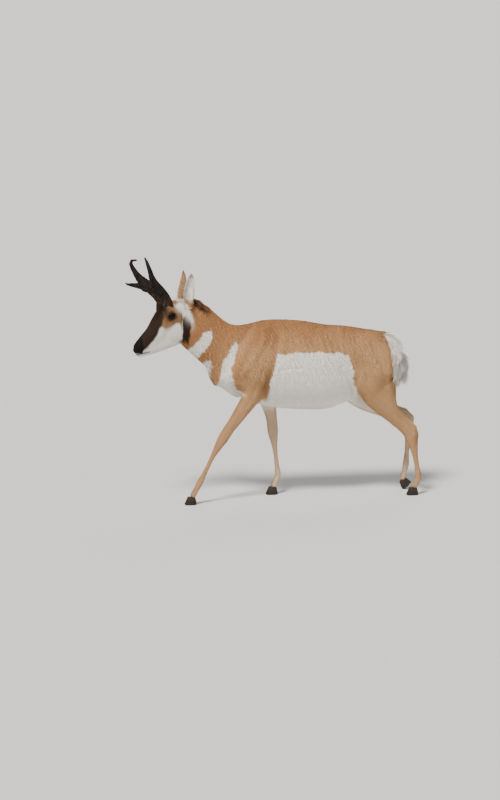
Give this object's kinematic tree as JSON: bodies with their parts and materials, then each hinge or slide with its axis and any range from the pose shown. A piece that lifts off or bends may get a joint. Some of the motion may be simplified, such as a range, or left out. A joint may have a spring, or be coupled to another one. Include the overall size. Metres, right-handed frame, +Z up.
{
  "type": "pronghorn",
  "caption": "Life-size still model of a pronghorn buck in a slow walk, with pronged horns, tan and white coat and cloven hooves",
  "frame": {"origin": "on the floor, under the middle of the whole animal's box", "axes": "+X from head to tail (the animal faces -X), +Y to the animal's right, +Z up"},
  "size_m": [1.4376, 0.2874, 1.2197],
  "materials": {
    "coat": "short dense tan and white hair",
    "pale_hair": "long white hair",
    "horn": "black horn, fibrous, satin",
    "hoof": "dark horn, satin",
    "eye": "wet dark brown"
  },
  "bodies": {
    "root": {"head": "coat", "neck": "coat", "torso": "coat", "rump": "coat", "tail": "pale_hair", "eye_left": "eye", "eye_right": "eye", "ear_left": "coat", "ear_right": "coat", "horn_left": "horn", "horn_right": "horn", "foreleg_left": "coat", "foreleg_right": "coat", "hindleg_left": "coat", "hindleg_right": "coat", "cannon_fore_left": "coat", "cannon_fore_right": "coat", "cannon_hind_left": "coat", "cannon_hind_right": "coat", "claw_fore_left_outer": "hoof", "claw_fore_left_inner": "hoof", "claw_fore_right_outer": "hoof", "claw_fore_right_inner": "hoof", "claw_hind_left_outer": "hoof", "claw_hind_left_inner": "hoof", "claw_hind_right_outer": "hoof", "claw_hind_right_inner": "hoof"}
  },
  "joints": []
}
